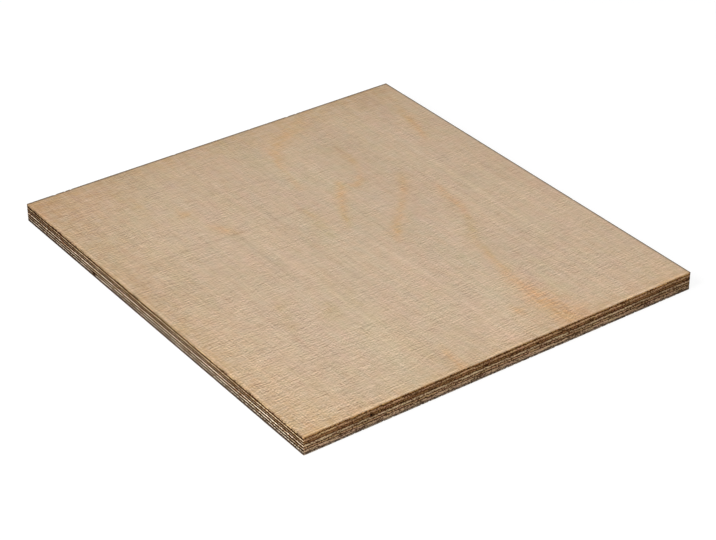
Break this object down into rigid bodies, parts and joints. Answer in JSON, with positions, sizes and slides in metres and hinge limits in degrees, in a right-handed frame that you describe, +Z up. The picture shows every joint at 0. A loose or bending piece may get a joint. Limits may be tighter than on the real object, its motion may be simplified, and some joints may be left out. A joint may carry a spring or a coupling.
{
  "type": "plywood sheet",
  "caption": "Flat rectangular plywood panel, built up of thin wooden veneers whose grain crosses from each to the next, with sawn edges that show the layers.",
  "frame": {"origin": "centre of the underside, the face that the panel lies on", "axes": "+Z up through the thickness; +Y along the grain of the two outer veneers, the panel's longer side; +X across that grain"},
  "size_m": [0.425, 0.46, 0.018],
  "materials": {
    "face_wood": "matte",
    "core_wood": "matte",
    "crossband_wood": "matte"
  },
  "bodies": {
    "root": {"face_veneer": "face_wood", "crossband_2": "crossband_wood", "core_ply_3": "core_wood", "crossband_4": "crossband_wood", "core_ply_5": "core_wood", "crossband_6": "crossband_wood", "back_veneer": "face_wood"}
  },
  "joints": []
}
